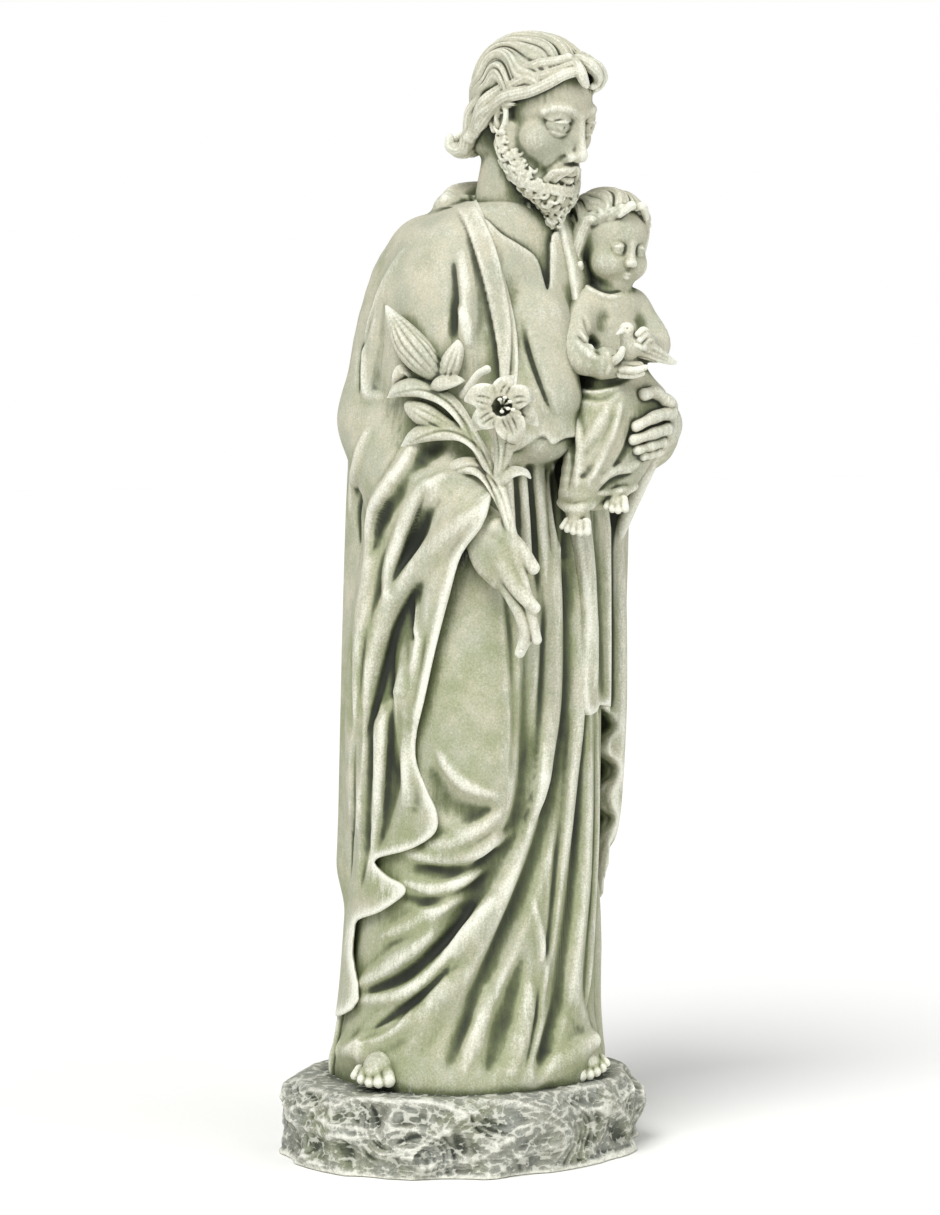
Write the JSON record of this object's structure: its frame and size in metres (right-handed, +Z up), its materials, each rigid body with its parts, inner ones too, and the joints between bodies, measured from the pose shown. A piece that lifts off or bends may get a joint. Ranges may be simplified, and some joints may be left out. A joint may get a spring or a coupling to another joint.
{
  "type": "religious statue",
  "caption": "Standing robed saint in a mantle, carrying a small child with a dove on one arm and holding a spray of lilies, barefoot on a low oval rock base.",
  "frame": {"origin": "centre of the bounding box in X and Y, on the ground under the rock base", "axes": "+Z up, the figure's chest faces -Y and his left arm with the child is towards +X"},
  "size_m": [0.3281, 0.287, 0.9103],
  "materials": {
    "cast stone": "matte grey-green resin stone with an olive wash in the hollows and pale dry-brushed ridges"
  },
  "bodies": {
    "root": {"statue": "cast stone"}
  },
  "joints": []
}
